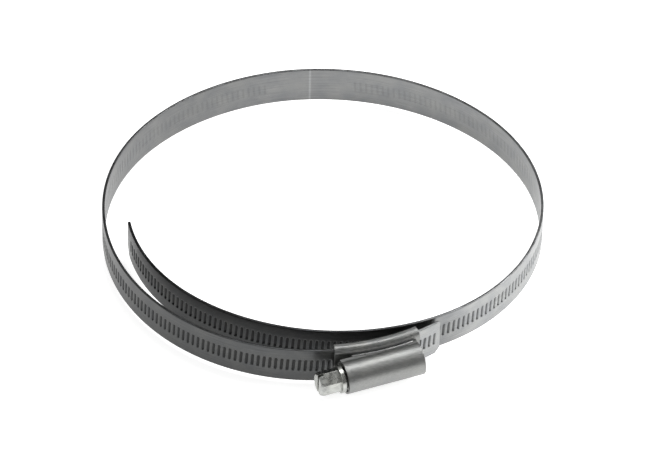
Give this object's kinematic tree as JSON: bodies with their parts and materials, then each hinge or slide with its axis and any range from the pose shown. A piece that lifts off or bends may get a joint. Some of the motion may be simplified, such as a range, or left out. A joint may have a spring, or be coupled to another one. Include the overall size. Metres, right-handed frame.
{
  "type": "hose clamp",
  "caption": "Worm-drive hose clamp: a threaded steel strip loop tightened by a hex-head screw in a pressed housing.",
  "frame": {"origin": "centre of curvature of the housing's saddle, at half the strip's width, inside the loop", "axes": "+Z along the hose; the screw's head is on the -X side of the housing and the housing is on the -Y side of the loop"},
  "size_m": [0.1426, 0.1466, 0.0152],
  "materials": {
    "band_steel": "zinc plated, satin",
    "band_dark": "zinc plated, satin, shaded",
    "housing_steel": "zinc plated, brushed along its length",
    "screw_zinc": "bright zinc plated"
  },
  "bodies": {
    "housing": {"worm_housing": "housing_steel"},
    "screw": {"worm_screw": "screw_zinc"},
    "run": {"strip_tip": "band_steel", "strip_run": "band_steel"},
    "left": {"strip_left_1": "band_steel", "strip_left_2": "band_steel", "strip_left_3": "band_steel", "strip_left_4": "band_steel", "strip_left_5": "band_steel", "strip_left_6": "band_steel", "strip_left_7": "band_steel"},
    "back": {"strip_left_8": "band_steel", "strip_right_1": "band_steel"},
    "right": {"strip_right_2": "band_steel", "strip_right_3": "band_steel", "strip_right_4": "band_steel", "strip_right_5": "band_steel", "strip_right_6": "band_steel", "strip_right_7": "band_steel", "strip_right_8": "band_steel", "strip_right_9": "band_steel"},
    "saddle": {"strip_saddle": "band_dark"},
    "tail": {"strip_tail_1": "band_dark", "strip_tail_2": "band_dark", "strip_tail_3": "band_dark", "strip_tail_4": "band_dark", "strip_tail_5": "band_dark"}
  },
  "joints": [
    {"name": "strip_travel", "type": "hinge", "parent": "housing", "child": "run", "pos_m": [0, 0, 0], "axis": [0, 0, 1], "range_deg": [-5, 45]},
    {"name": "screw_turn", "type": "hinge", "parent": "housing", "child": "screw", "pos_m": [0.02725, -0.06578, 0], "axis": [0.9239, 0.3827, 0], "range_deg": [-1307.1, 10168.64]},
    {"name": "bend_left", "type": "hinge", "parent": "run", "child": "left", "pos_m": [-0.04592, -0.04755, 0], "axis": [0, 0, 1], "range_deg": [-7.74, 1.01]},
    {"name": "bend_back", "type": "hinge", "parent": "left", "child": "back", "pos_m": [-0.01832, 0.06342, 0], "axis": [0, 0, 1], "range_deg": [-14.19, 1.84]},
    {"name": "bend_right", "type": "hinge", "parent": "back", "child": "right", "pos_m": [0.02167, 0.06507, 0], "axis": [0, 0, 1], "range_deg": [-7.94, 1.04]},
    {"name": "bend_saddle", "type": "hinge", "parent": "right", "child": "saddle", "pos_m": [0.03717, -0.05112, 0], "axis": [0, 0, 1], "range_deg": [-16.11, 2.09]},
    {"name": "bend_tail", "type": "hinge", "parent": "saddle", "child": "tail", "pos_m": [-0.00538, -0.05603, 0], "axis": [0, 0, 1], "range_deg": [-2.31, 0.32]}
  ],
  "couplings": [
    {"joint": "screw_turn", "follows": "strip_travel", "ratio": 221.54},
    {"joint": "bend_left", "follows": "strip_travel", "ratio": -0.1681},
    {"joint": "bend_back", "follows": "strip_travel", "ratio": -0.3088},
    {"joint": "bend_right", "follows": "strip_travel", "ratio": -0.1725},
    {"joint": "bend_saddle", "follows": "strip_travel", "ratio": -0.3506},
    {"joint": "bend_tail", "follows": "strip_travel", "ratio": -0.05}
  ]
}
